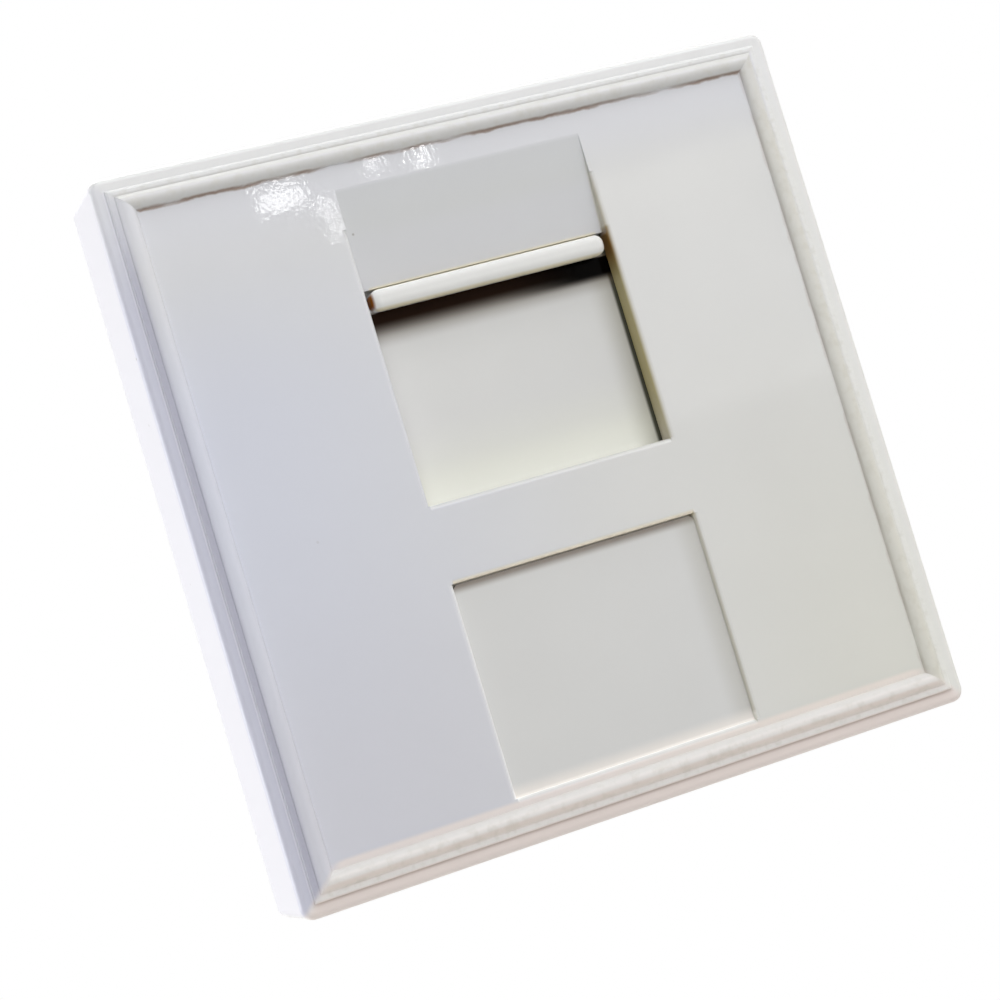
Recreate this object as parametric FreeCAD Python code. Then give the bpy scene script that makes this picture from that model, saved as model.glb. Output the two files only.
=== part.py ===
"""Single-gang data wall socket with a sprung sliding dust shutter in front of one eight-way jack.

The socket stands as it does on a wall: X to the right, Z up, and the face looks along -Y.
The origin is the middle of the wall plane, so the plate lies at negative Y and the jack's
rear half reaches into the wall box at positive Y. All sizes are in millimetres.
"""
import FreeCAD, Part
import math
import os

V = FreeCAD.Vector

# Plate: outline, skirt and the moulded picture-frame edge
plate_size = 86.0
plate_depth = 13.0
skirt_wall = 2.0
skirt_draft = 0.15
corner_radius = 1.5
panel_wall = 2.6
ledge_width = 1.65
ledge_drop = 0.3
ledge_edge_radius = 0.8
shelf_width = 0.85
shelf_rise = 0.1
shelf_edge_radius = 0.35
bead_width = 2.05
bead_height = 0.8

# Finger ramp, shutter window and label recess in the panel
channel_width = 31.0
ramp_margin = 2.8
ramp_length = 12.0
ramp_depth = 1.5
window_height = 26.0
lip_radius = 0.6
band_height = 9.3
label_margin = 1.1
label_recess = 0.7
label_thickness = 1.0
label_side_gap = 0.03
label_top_gap = 0.12
label_corner_radius = 0.8

# Sliding shutter, its guides and its two return springs
shutter_thickness = 1.4
shutter_side_lap = 1.7
shutter_top_lap = 2.0
shutter_bottom_lap = 3.0
slide_gap = 0.3
bar_height = 2.5
bar_top_gap = 0.2
bar_end_gap = 0.6
bar_setback = 0.1
bar_stop_gap = 1.3
bar_corner_radius = 1.1
bar_front_radius = 1.0
lug_height = 3.0
lug_below_window_top = 1.5
spring_open_length = 13.0
spring_radius = 1.1
spring_wire = 0.36
spring_turns = 11
spring_runs_per_turn = 10
spring_gap = 0.2
spring_end_gap = 0.04
guide_wall = 1.5
seat_height = 1.8
guide_run_out = 3.0

# Mounting frame that is screwed to the wall box behind the cover
frame_gap = 0.25
frame_plate = 3.0
frame_rim_wall = 1.5
frame_rim_height = 3.0
fixing_spacing = 60.3
fixing_hole = 4.0
fixing_boss = 9.0
fixing_boss_height = 2.0
fixing_head = 7.4
rest_rib_inset = 1.2
rear_pocket_depth = 1.2
rear_pocket_margin = 5.0
rear_rib = 2.0
rear_pocket_count = 3

# Snap hooks of the cover in the mounting frame
hook_width = 7.0
hook_wall = 1.4
hook_barb = 0.8
hook_step = 1.4
hook_seat_gap = 0.05
hook_wall_gap = 0.3
hook_from_middle = 25.0
hook_edge_margin = 2.6
hook_gap = 0.2
hook_flex_gap = 1.0

# Jack: housing, plug port and snap-in collar
jack_width = 16.4
jack_height = 17.0
jack_length = 13.4
jack_flange = 1.0
jack_gap = 0.2
collar_wall = 1.6
jack_barb = 0.9
jack_barb_width = 8.0
jack_step = 1.2
jack_seat_gap = 0.05
port_width = 11.8
port_height = 6.8
port_above_middle = 4.4
port_depth = 12.0
latch_width = 6.2
latch_drop = 1.8
key_width = 3.4
key_drop = 1.4

# Spring contacts on their carrier
contact_count = 8
contact_pitch = 1.02
contact_width = 0.46
contact_thickness = 0.3
contact_tip_drop = 2.0
contact_slant = 25.0
contact_seat_gap = 0.05
carrier_height = 1.6
carrier_gap = 0.1
carrier_setback = 4.6
chamber_front_wall = 2.2

# Circuit board and the two insulation-displacement terminal rows
board_thickness = 1.6
board_inset = 0.4
terminals_per_row = 4
terminal_pitch = 3.9
terminal_row_offset = 5.2
terminal_block_width = 4.8
terminal_block_depth = 10.5
terminal_end_wall = 0.4
wire_slot_width = 1.4
wire_slot_depth = 6.0
blade_thickness = 0.5
blade_width = 2.5
blade_length = 8.6
blade_slit = 0.4
blade_slit_depth = 4.8
blade_lead_in = 0.5
blade_gap = 0.05
cap_wall = 0.9
cap_gap = 0.12
cap_skirt = 3.6

# Places that follow from the sizes above
plate_half = plate_size / 2
front_half = plate_half - skirt_draft
face_y = -plate_depth
ledge_y = face_y + ledge_drop
panel_back = face_y + panel_wall
shelf_y = face_y - shelf_rise
shelf_out = front_half - ledge_width
bead_out = shelf_out - shelf_width
bead_in = bead_out - bead_width
skirt_inside = plate_half - skirt_wall

ramp_top = bead_in - ramp_margin
window_top = ramp_top - ramp_length
window_bottom = window_top - window_height
label_top = window_bottom - band_height
label_bottom = label_margin - bead_in
label_face = face_y + label_recess
pocket_floor = label_face + label_thickness

shutter_front = panel_back + slide_gap
shutter_back = shutter_front + shutter_thickness
shutter_half = channel_width / 2 + shutter_side_lap
bar_top = window_top - bar_top_gap
bar_bottom = bar_top - bar_height
shutter_travel = bar_bottom - window_bottom - bar_stop_gap
shutter_top = window_top + shutter_top_lap
shutter_bottom = window_bottom - shutter_bottom_lap
lug_top = window_top - lug_below_window_top
lug_bottom = lug_top - lug_height
seat_top = lug_bottom - shutter_travel - spring_open_length
spring_outside = spring_radius + spring_wire / 2
spring_y = panel_back + spring_gap + spring_outside
spring_x = shutter_half + slide_gap + spring_gap + spring_outside
lug_back = spring_y + spring_outside
lug_end = spring_x + spring_outside + spring_gap
guide_inside = lug_end + slide_gap
guide_back = lug_back + slide_gap
guide_bottom = shutter_bottom - shutter_travel - guide_run_out

frame_half = skirt_inside - frame_gap
rest_rib_outside = channel_width / 2 - rest_rib_inset
rest_rib_front = shutter_back + slide_gap
hook_outer = frame_half - hook_edge_margin
hook_inner = hook_outer - hook_wall
hook_step_back = hook_step - frame_plate
jack_step_back = jack_step - frame_plate

jack_front = shutter_back + slide_gap
jack_rear = jack_front + jack_length
port_middle = (shutter_top - shutter_travel + window_top) / 2
collar_front = jack_front + jack_flange
port_top = port_middle + port_above_middle
port_bottom = port_top - port_height
port_end = jack_front + port_depth
carrier_bottom = port_top + contact_seat_gap + contact_thickness
carrier_top = carrier_bottom + carrier_height
nose_radius = carrier_height / 2
nose_y = jack_front + carrier_setback + nose_radius
nose_z = carrier_bottom + nose_radius
chamber_front = jack_front + chamber_front_wall
chamber_top = carrier_top + contact_seat_gap + contact_thickness + carrier_gap
jack_top = port_middle + jack_height / 2
jack_bottom = port_middle - jack_height / 2
board_rear = jack_rear + board_thickness
block_rear = board_rear + terminal_block_depth
block_half_height = terminals_per_row * terminal_pitch / 2 + terminal_end_wall

# How far a cutting tool runs past the face that it opens
over = 1.0


def block(x0, x1, y0, y1, z0, z1):
    """A rectangular solid between two values on each axis."""
    return Part.makeBox(x1 - x0, y1 - y0, z1 - z0, V(x0, y0, z0))


def centred_block(half_width, y0, y1, z0, z1):
    """A rectangular solid that is symmetric about the middle plane."""
    return block(-half_width, half_width, y0, y1, z0, z1)


def mirrored(shapes):
    """The shapes and their mirror images across the middle plane."""
    return shapes + [shape.mirror(V(0, 0, 0), V(1, 0, 0)) for shape in shapes]


def joined(shapes):
    """One solid from touching or overlapping shapes, with no leftover seams."""
    return shapes[0].fuse(shapes[1:]).removeSplitter()


def side_profile(points, x0, x1):
    """A straight-edged outline of (y, z) points, carried along X."""
    corners = [V(x0, y, z) for y, z in points]
    outline = Part.makePolygon(corners + corners[:1])
    return Part.Face(outline).extrude(V(x1 - x0, 0, 0))


def rounded_square(half, radius, y):
    """A square outline with rounded corners, lying across the depth at y."""
    flat = half - radius
    mid_corner = flat + radius * math.sqrt(0.5)
    side = Part.LineSegment(V(half, y, -flat), V(half, y, flat))
    corner = Part.Arc(V(half, y, flat), V(mid_corner, y, mid_corner), V(flat, y, half))
    edges = []
    for quarter in range(4):
        for curve in (side, corner):
            edge = curve.toShape()
            edge.rotate(V(0, 0, 0), V(0, 1, 0), -90 * quarter)
            edges.append(edge)
    return Part.Wire(edges)


def edges_at_depth(shape, y):
    """The edges of a shape that lie wholly in the plane at depth y."""
    return [e for e in shape.Edges if all(abs(v.Y - y) < 1e-6 for v in e.Vertexes)]


def bead_ring():
    """The frame edge round the panel: a shelf with a rounded edge, a raised bead and mitred corners."""
    root = ledge_y + over
    edge_start = V(0, shelf_y + shelf_edge_radius, shelf_out)
    edge_end = V(0, shelf_y, shelf_out - shelf_edge_radius)
    edge_inset = shelf_edge_radius * (1 - math.sqrt(0.5))
    edge_middle = V(0, shelf_y + edge_inset, shelf_out - edge_inset)
    bead_foot = V(0, shelf_y, bead_out)
    crown = V(0, face_y - bead_height, bead_in + bead_width / 2)
    seam = V(0, face_y, bead_in)
    foot_in = V(0, root, bead_in)
    foot_out = V(0, root, shelf_out)
    section = Part.Wire([
        Part.LineSegment(foot_out, edge_start).toShape(),
        Part.Arc(edge_start, edge_middle, edge_end).toShape(),
        Part.LineSegment(edge_end, bead_foot).toShape(),
        Part.Arc(bead_foot, crown, seam).toShape(),
        Part.LineSegment(seam, foot_in).toShape(),
        Part.LineSegment(foot_in, foot_out).toShape(),
    ])
    bar = Part.Face(section).extrude(V(2 * plate_half, 0, 0))
    bar.translate(V(-plate_half, 0, 0))
    wedge_corners = [V(0, -plate_size, 0), V(-plate_size, -plate_size, plate_size),
                     V(plate_size, -plate_size, plate_size), V(0, -plate_size, 0)]
    wedge = Part.Face(Part.makePolygon(wedge_corners)).extrude(V(0, 2 * plate_size, 0))
    side = bar.common(wedge)
    sides = []
    for quarter in range(4):
        copy = side.copy()
        copy.rotate(V(0, 0, 0), V(0, 1, 0), 90 * quarter)
        sides.append(copy)
    return sides


def lip_cutter(start, end, outward, radius):
    """Takes the sharp edge off an opening's rim.

    The rim runs from start to end on the panel's face, and outward points away from the opening.
    """
    inward = V(0, 1, 0)
    away = start + outward * radius
    below = start + inward * radius
    centre = away + inward * radius
    on_arc = centre - (outward + inward) * (radius * math.sqrt(0.5))
    section = Part.Wire([
        Part.LineSegment(away, start).toShape(),
        Part.LineSegment(start, below).toShape(),
        Part.Arc(below, on_arc, away).toShape(),
    ])
    return Part.Face(section).extrude(end - start)


def channel_cutters():
    """The finger ramp, the shutter window, the label recess and their rounded rims."""
    half = channel_width / 2
    ramp_outline = [(face_y - over, ramp_top), (face_y, ramp_top),
                    (face_y + ramp_depth, window_top), (face_y - over, window_top)]
    ramp = side_profile(ramp_outline, -half, half)
    window = centred_block(half, face_y - over, panel_back + over, window_bottom, window_top)
    label = centred_block(half, face_y - over, pocket_floor, label_bottom, label_top)
    rim_top = ramp_top - ramp_length * lip_radius / ramp_depth
    right_rims = [
        lip_cutter(V(half, face_y, window_bottom), V(half, face_y, rim_top), V(1, 0, 0), lip_radius),
        lip_cutter(V(half, face_y, label_bottom), V(half, face_y, label_top), V(1, 0, 0), lip_radius),
    ]
    cross_rims = []
    for height, outward in ((window_bottom, -1), (label_bottom, -1), (label_top, 1)):
        left = V(-half, face_y, height)
        right = V(half, face_y, height)
        cross_rims.append(lip_cutter(left, right, V(0, 0, outward), lip_radius))
    return [ramp, window, label] + mirrored(right_rims) + cross_rims


def shutter_guides():
    """Ribs on the cover's back: side guides, spring seats, top stops and lower rails."""
    outer_guide = block(guide_inside, guide_inside + guide_wall, panel_back, guide_back,
                        seat_top - seat_height, shutter_top)
    spring_seat = block(shutter_half + slide_gap, guide_inside, panel_back, guide_back,
                        seat_top - seat_height, seat_top)
    top_stop = block(shutter_half + slide_gap, guide_inside, panel_back, guide_back,
                     lug_top + slide_gap, shutter_top)
    lower_rail = block(shutter_half + slide_gap, shutter_half + slide_gap + guide_wall,
                       panel_back, guide_back, guide_bottom, seat_top)
    return mirrored([outer_guide, spring_seat, top_stop, lower_rail])


def cover_hooks():
    """Four snap hooks that reach back through the mounting frame and catch behind its step."""
    barb_front = hook_step_back + hook_seat_gap
    barb_rear = -hook_wall_gap
    outline = [(panel_back, hook_inner), (barb_rear, hook_inner), (barb_rear, hook_outer),
               (barb_front, hook_outer + hook_barb), (barb_front, hook_outer), (panel_back, hook_outer)]
    hook = side_profile(outline, hook_from_middle - hook_width / 2, hook_from_middle + hook_width / 2)
    lower = hook.mirror(V(0, 0, 0), V(0, 0, 1))
    return mirrored([hook, lower])


def front_cover():
    """The moulded cover: skirt, stepped frame edge, panel with its openings, guides and hooks."""
    body = Part.makeLoft([rounded_square(plate_half, corner_radius, 0),
                          rounded_square(front_half, corner_radius, ledge_y)], True, True)
    body = body.makeFillet(ledge_edge_radius, edges_at_depth(body, ledge_y))
    panel = centred_block(bead_in, face_y, ledge_y + over, -bead_in, bead_in)
    body = joined([body, panel] + bead_ring())
    hollow = centred_block(skirt_inside, panel_back, over, -skirt_inside, skirt_inside)
    body = body.cut([hollow] + channel_cutters())
    return joined([body] + shutter_guides() + cover_hooks())


def base_frame():
    """The mounting frame: plate, stiffening rim, screw bosses, jack collar and shutter rest ribs."""
    plate_front = -frame_plate
    plate = centred_block(frame_half, plate_front, 0, -frame_half, frame_half)
    rim_front = plate_front - frame_rim_height
    rim_inside = frame_half - frame_rim_wall
    rim = centred_block(frame_half, rim_front, plate_front, -frame_half, frame_half)
    rim = rim.cut(centred_block(rim_inside, rim_front, plate_front, -rim_inside, rim_inside))
    collar_half = jack_width / 2 + jack_gap + collar_wall
    collar_reach = jack_height / 2 + jack_gap + collar_wall
    collar = centred_block(collar_half, collar_front, plate_front,
                           port_middle - collar_reach, port_middle + collar_reach)
    rest_rib = block(rest_rib_outside - guide_wall, rest_rib_outside, rest_rib_front, plate_front,
                     guide_bottom, shutter_top)
    boss_front = plate_front - fixing_boss_height
    boss = Part.makeCylinder(fixing_boss / 2, fixing_boss_height, V(fixing_spacing / 2, boss_front, 0),
                             V(0, 1, 0))
    body = joined([plate, rim, collar] + mirrored([rest_rib, boss]))

    opening_half = jack_width / 2 + jack_gap
    opening = centred_block(opening_half, collar_front, 0, jack_bottom - jack_gap, jack_top + jack_gap)
    hole = Part.makeCylinder(fixing_hole / 2, frame_plate, V(fixing_spacing / 2, plate_front, 0), V(0, 1, 0))
    head = Part.makeCylinder(fixing_head / 2, fixing_boss_height, V(fixing_spacing / 2, boss_front, 0),
                             V(0, 1, 0))
    barb_pocket = centred_block(jack_barb_width / 2 + jack_gap, jack_step_back, 0,
                                jack_bottom - jack_barb - jack_gap, jack_top + jack_barb + jack_gap)
    return body.cut([opening, barb_pocket] + mirrored([hole, head]) + hook_pockets() + rear_pockets())


def hook_pockets():
    """Slots for the cover's hooks, each with a deeper pocket at the rear for its barb."""
    x0 = hook_from_middle - hook_width / 2 - hook_gap
    x1 = hook_from_middle + hook_width / 2 + hook_gap
    slot = block(x0, x1, -frame_plate, 0, hook_inner - hook_flex_gap, hook_outer + hook_gap)
    barb_pocket = block(x0, x1, hook_step_back, 0, hook_outer, hook_outer + hook_barb + hook_gap)
    upper = [slot, barb_pocket]
    lower = [tool.mirror(V(0, 0, 0), V(0, 0, 1)) for tool in upper]
    return mirrored(upper + lower)


def rear_pockets():
    """Shallow hollows in the frame's rear face that leave upright ribs between them."""
    reach = hook_from_middle - hook_width / 2 - rear_pocket_margin
    width = (2 * reach - (rear_pocket_count - 1) * rear_rib) / rear_pocket_count
    bottom = rear_pocket_margin - hook_inner
    pockets = []
    for index in range(rear_pocket_count):
        left = -reach + index * (width + rear_rib)
        pockets.append(block(left, left + width, -rear_pocket_depth, 0, bottom, -rear_pocket_margin))
    return pockets


def shutter():
    """The dust shutter: a flat slide with a rounded grip bar and a spring lug on each side."""
    slide = centred_block(shutter_half, shutter_front, shutter_back, shutter_bottom, shutter_top)
    bar_front = face_y + bar_setback
    bar_half = channel_width / 2 - bar_end_gap
    bar = centred_block(bar_half, bar_front, shutter_front, bar_bottom, bar_top)
    corners = [e for e in bar.Edges if abs(e.tangentAt(e.FirstParameter).y) > 0.9]
    bar = bar.makeFillet(bar_corner_radius, corners)
    bar = bar.makeFillet(bar_front_radius, edges_at_depth(bar, bar_front))
    lug = block(shutter_half - guide_wall, lug_end, shutter_front, lug_back, lug_bottom, lug_top)
    return joined([slide, bar] + mirrored([lug]))


def shutter_spring(side):
    """A compression spring between its seat on the cover and the shutter's lug.

    The wire is wound in short straight runs with mitred joints and a six-sided section.
    """
    low = seat_top + spring_end_gap + spring_wire / 2
    high = lug_bottom - spring_end_gap - spring_wire / 2
    steps = spring_turns * spring_runs_per_turn
    points = []
    for step in range(steps + 1):
        angle = 2 * math.pi * step / spring_runs_per_turn
        points.append(V(spring_radius * math.cos(angle), spring_radius * math.sin(angle),
                        (high - low) * step / steps))
    along = points[1] - points[0]
    across = along.cross(V(0, 0, 1)).normalize() * (spring_wire / 2)
    corners = [points[0] + FreeCAD.Rotation(along, 60 * turn).multVec(across) for turn in range(7)]
    coil = Part.makePolygon(points).makePipeShell([Part.makePolygon(corners)], True, False, 1)
    coil.translate(V(side * spring_x, spring_y, low))
    return coil


def label_insert():
    """The plain insert that lies in the label recess, with rounded corners."""
    half = channel_width / 2 - label_side_gap
    plate = centred_block(half, label_face, pocket_floor,
                          label_bottom + label_side_gap, label_top - label_top_gap)
    corners = [e for e in plate.Edges if abs(e.tangentAt(e.FirstParameter).y) > 0.9]
    return plate.makeFillet(label_corner_radius, corners)


def jack_housing():
    """The jack's body: stepped plug port, contact chamber, front flange and two snap barbs."""
    body = centred_block(jack_width / 2, jack_front, jack_rear, jack_bottom, jack_top)
    flange = centred_block(jack_width / 2 + jack_flange, jack_front, collar_front,
                           jack_bottom - jack_flange, jack_top + jack_flange)
    barb_front = jack_step_back + jack_seat_gap
    barb_outline = [(barb_front, jack_top), (barb_front, jack_top + jack_barb), (0, jack_top)]
    top_barb = side_profile(barb_outline, -jack_barb_width / 2, jack_barb_width / 2)
    bottom_barb = top_barb.mirror(V(0, 0, port_middle), V(0, 0, 1))
    body = joined([body, flange, top_barb, bottom_barb])

    latch_bottom = port_bottom - latch_drop
    port = centred_block(port_width / 2, jack_front, port_end, port_bottom, port_top)
    latch = centred_block(latch_width / 2, jack_front, port_end, latch_bottom, port_bottom)
    key = centred_block(key_width / 2, jack_front, port_end, latch_bottom - key_drop, latch_bottom)
    throat = centred_block(port_width / 2, chamber_front, port_end, port_top, carrier_bottom)
    chamber = centred_block(port_width / 2, chamber_front, jack_rear, carrier_bottom, chamber_top)
    return body.cut([port, latch, key, throat, chamber])


def contact_x(index):
    """The sideways place of one spring contact."""
    return (index - (contact_count - 1) / 2) * contact_pitch


def nose_point(radius, turned):
    """A point on the bend round the carrier's nose, in degrees turned from its top."""
    angle = math.radians(turned)
    return V(0, nose_y - radius * math.sin(angle), nose_z + radius * math.cos(angle))


def contact_carrier():
    """The insulating carrier: a round-nosed tongue with a rib on each side of every contact."""
    half = port_width / 2 - carrier_gap
    outline = Part.Wire([
        Part.LineSegment(V(0, jack_rear, carrier_bottom), V(0, nose_y, carrier_bottom)).toShape(),
        Part.Arc(nose_point(nose_radius, 180), nose_point(nose_radius, 90),
                 nose_point(nose_radius, 0)).toShape(),
        Part.LineSegment(V(0, nose_y, carrier_top), V(0, jack_rear, carrier_top)).toShape(),
        Part.LineSegment(V(0, jack_rear, carrier_top), V(0, jack_rear, carrier_bottom)).toShape(),
    ])
    tongue = Part.Face(outline).extrude(V(2 * half, 0, 0))
    tongue.translate(V(-half, 0, 0))
    rib_half = (contact_pitch - contact_width) / 2 - contact_seat_gap
    ribs = []
    for index in range(contact_count + 1):
        middle = contact_x(index) - contact_pitch / 2
        ribs.append(block(middle - rib_half, middle + rib_half, nose_y, jack_rear,
                          carrier_top, carrier_top + contact_thickness))
    return joined([tongue] + ribs)


def plug_contact(index):
    """One spring contact: a strip along the carrier, round its nose and down into the port."""
    inner = nose_radius + contact_seat_gap
    outer = inner + contact_thickness
    turn = 180 - contact_slant
    slant = math.radians(contact_slant)
    leave_inner = nose_point(inner, turn)
    leave_outer = nose_point(outer, turn)
    reach = (leave_outer.z - (port_top - contact_tip_drop)) / math.sin(slant)
    run = V(0, reach * math.cos(slant), -reach * math.sin(slant))
    start_inner = V(0, jack_rear, nose_z + inner)
    start_outer = V(0, jack_rear, nose_z + outer)
    outline = Part.Wire([
        Part.LineSegment(start_inner, nose_point(inner, 0)).toShape(),
        Part.Arc(nose_point(inner, 0), nose_point(inner, turn / 2), leave_inner).toShape(),
        Part.LineSegment(leave_inner, leave_inner + run).toShape(),
        Part.LineSegment(leave_inner + run, leave_outer + run).toShape(),
        Part.LineSegment(leave_outer + run, leave_outer).toShape(),
        Part.Arc(leave_outer, nose_point(outer, turn / 2), nose_point(outer, 0)).toShape(),
        Part.LineSegment(nose_point(outer, 0), start_outer).toShape(),
        Part.LineSegment(start_outer, start_inner).toShape(),
    ])
    strip = Part.Face(outline).extrude(V(contact_width, 0, 0))
    strip.translate(V(contact_x(index) - contact_width / 2, 0, 0))
    return strip


def circuit_board():
    """The board that joins the spring contacts to the wire terminals."""
    half = jack_width / 2 - board_inset
    return centred_block(half, jack_rear, board_rear, jack_bottom + board_inset, jack_top - board_inset)


def terminal_z(index):
    """The height of one wire terminal in its row."""
    return port_middle + (index - (terminals_per_row - 1) / 2) * terminal_pitch


def terminal_block(side):
    """One row of wire terminals: a block with a wire slot and a blade pocket at each place."""
    middle = side * terminal_row_offset
    half = terminal_block_width / 2
    body = block(middle - half, middle + half, board_rear, block_rear,
                 port_middle - block_half_height, port_middle + block_half_height)
    pocket_half_x = blade_thickness / 2 + blade_gap
    pocket_half_z = blade_width / 2 + blade_gap
    cuts = []
    for index in range(terminals_per_row):
        z = terminal_z(index)
        cuts.append(block(middle - half, middle + half, block_rear - wire_slot_depth, block_rear,
                          z - wire_slot_width / 2, z + wire_slot_width / 2))
        cuts.append(block(middle - pocket_half_x, middle + pocket_half_x, board_rear,
                          board_rear + blade_length + blade_gap, z - pocket_half_z, z + pocket_half_z))
    return body.cut(cuts)


def terminal_blade(side, index):
    """One forked blade that cuts through a wire's insulation."""
    z = terminal_z(index)
    tip = board_rear + blade_length
    half = blade_width / 2
    slit = blade_slit / 2
    upper = [(board_rear, half), (tip, half), (tip, slit + blade_lead_in), (tip - blade_lead_in, slit),
             (tip - blade_slit_depth, slit)]
    lower = [(y, -offset) for y, offset in reversed(upper)]
    outline = [(y, z + offset) for y, offset in upper + lower]
    middle = side * terminal_row_offset
    return side_profile(outline, middle - blade_thickness / 2, middle + blade_thickness / 2)


def wire_cap(side):
    """The cap pressed over one terminal row, notched where the wires come in."""
    middle = side * terminal_row_offset
    inside = terminal_block_width / 2 + cap_gap
    inside_height = block_half_height + cap_gap
    front = block_rear - cap_skirt
    outside = inside + cap_wall
    reach = inside_height + cap_wall
    body = block(middle - outside, middle + outside, front, block_rear + cap_wall,
                 port_middle - reach, port_middle + reach)
    cuts = [block(middle - inside, middle + inside, front, block_rear,
                  port_middle - inside_height, port_middle + inside_height)]
    for index in range(terminals_per_row):
        z = terminal_z(index)
        cuts.append(block(middle - outside, middle + outside, front, block_rear - cap_wall,
                          z - wire_slot_width / 2, z + wire_slot_width / 2))
    return body.cut(cuts)


def save(name, shape):
    """Writes one piece, after making sure that it is a sound solid."""
    if not shape.isValid() or len(shape.Solids) != 1:
        raise ValueError(name + " is not one sound solid")
    shape.exportStep(os.path.join("parts", name + ".step"))


os.makedirs("parts", exist_ok=True)
save("front_cover", front_cover())
save("base_frame", base_frame())
save("shutter", shutter())
save("label_insert", label_insert())
save("jack_housing", jack_housing())
save("contact_carrier", contact_carrier())
save("circuit_board", circuit_board())
for number in range(contact_count):
    save(f"plug_contact_{number + 1}", plug_contact(number))
for side_name, side_sign in (("left", -1), ("right", 1)):
    save(f"shutter_spring_{side_name}", shutter_spring(side_sign))
    save(f"terminal_block_{side_name}", terminal_block(side_sign))
    save(f"wire_cap_{side_name}", wire_cap(side_sign))
    for number in range(terminals_per_row):
        save(f"terminal_blade_{side_name}_{number + 1}", terminal_blade(side_sign, number))
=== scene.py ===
"""Look of a square data wall socket with a sprung dust shutter, laid out as an add-on."""

import math
from types import SimpleNamespace

import bmesh
import bpy
from mathutils import Euler, Matrix, Vector


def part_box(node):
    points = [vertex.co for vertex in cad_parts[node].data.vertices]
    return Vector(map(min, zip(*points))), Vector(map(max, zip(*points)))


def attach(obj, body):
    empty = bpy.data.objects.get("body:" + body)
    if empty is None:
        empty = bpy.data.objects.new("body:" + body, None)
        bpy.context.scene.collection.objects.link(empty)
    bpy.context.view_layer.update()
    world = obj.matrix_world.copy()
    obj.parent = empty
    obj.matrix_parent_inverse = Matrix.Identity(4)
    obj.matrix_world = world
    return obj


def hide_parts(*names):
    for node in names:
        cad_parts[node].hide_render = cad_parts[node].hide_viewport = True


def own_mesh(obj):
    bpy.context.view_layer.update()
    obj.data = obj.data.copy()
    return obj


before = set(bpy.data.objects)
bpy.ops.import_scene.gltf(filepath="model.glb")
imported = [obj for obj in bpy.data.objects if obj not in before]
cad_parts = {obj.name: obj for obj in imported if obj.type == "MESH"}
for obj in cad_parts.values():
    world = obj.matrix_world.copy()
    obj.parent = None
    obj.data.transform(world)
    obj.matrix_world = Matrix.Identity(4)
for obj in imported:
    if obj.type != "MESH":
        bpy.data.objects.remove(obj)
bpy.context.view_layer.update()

bl_info = {
    "name": "Data wall socket",
    "version": (1, 0, 0),
    "blender": (4, 5, 0),
    "location": "View3D > Sidebar > Socket",
    "description": "Finishes, label plate, springs, solder and stage of a data wall socket with a shutter",
    "category": "Object",
}

ROOT = "socket_body"
SIDES = ("left", "right")
MM = 0.001

# The label insert in millimetres: its corners in the frame, the room round it and its rounded corners.
LABEL_LOW, LABEL_HIGH = [[value / MM for value in corner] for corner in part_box("label_insert")]
LABEL_GAP = 0.03
LABEL_TOP_GAP = 0.12
LABEL_CORNER = 0.8
LABEL_CORNER_STEPS = 6

# Places on the cover, in millimetres from its middle: the stepped edge, then the openings downwards.
PLATE_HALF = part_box("front_cover")[1][0] / MM
LEDGE_FOOT = PLATE_HALF - 1.8
SHELF_MIDDLE = LEDGE_FOOT - 0.5
BEAD_FLANK = LEDGE_FOOT - 1.2
BEAD_FOOT = LEDGE_FOOT - 2.9
CHANNEL_SIDE = LABEL_HIGH[0] + LABEL_GAP
RAMP_TOP = BEAD_FOOT - 2.8
WINDOW_TOP = RAMP_TOP - 12.0
WINDOW_FOOT = WINDOW_TOP - 26.0
LABEL_TOP = LABEL_HIGH[2] + LABEL_TOP_GAP
LABEL_FOOT = LABEL_LOW[2] - LABEL_GAP
# The grip bar while the shutter is up.
BAR_TOP = WINDOW_TOP - 0.2
BAR_FOOT = BAR_TOP - 2.5
BAR_END = CHANNEL_SIDE - 0.6
# Depths along Y, in millimetres, lowest in front.
FACE = LABEL_LOW[1] - 0.7
LEDGE_DEPTH = FACE + 0.3
SHUTTER_FACE = FACE + 2.9
# Half of the width over which a tone changes at a corner of the stepped edge.
SHARP_MITRE = 0.2
SOFT_MITRE = 1.0

# Sizes of the patterns in the plastics, in millimetres.
DRIFT_SIZE = 22.0
WAVE_SIZE = 4.0
SCUFF_SIZE = 1.1
GRIT_SIZE = 2.2
GRIT_PATCH = 6.0
SPECK_SPACING = 7.0
POUR_SIZE = 2.4
# Height of the slow wave as a multiple of the ripple's, and the ripple's height by kind of skin.
WAVE_HEIGHT = 3.0
GLOSS_RIPPLE = 0.003 * MM
MATTE_RIPPLE = 0.006 * MM
COARSE_RIPPLE = 0.01 * MM

# Painted light on the cover, a cool cast on the left, darker on the lower left, and a warm cast on the
# right: colour, strength, and where each fades in across and up, in millimetres.
COVER_LIGHT_CASTS = (
    ("#d3d6e4", 0.85, (12.0, -40.0), (44.0, 10.0)),
    ("#cecdd3", 0.55, (5.0, -25.0), (5.0, -35.0)),
    ("#dcdbcf", 0.6, (-5.0, 40.0), (20.0, -40.0)),
)
# Colours of the four wires of a cap, from the bottom up, and half a patch as a share of the pitch.
WIRE_COLOURS = ("#7a4b2a", "#2f8a4d", "#d9762b", "#2f5fa8")
WIRE_PATCH = 0.3

# The wire of the springs.
RINGS_PER_TURN = 20
WIRE_SIDES = 8
CLOSED_TURNS = 1.25
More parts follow.
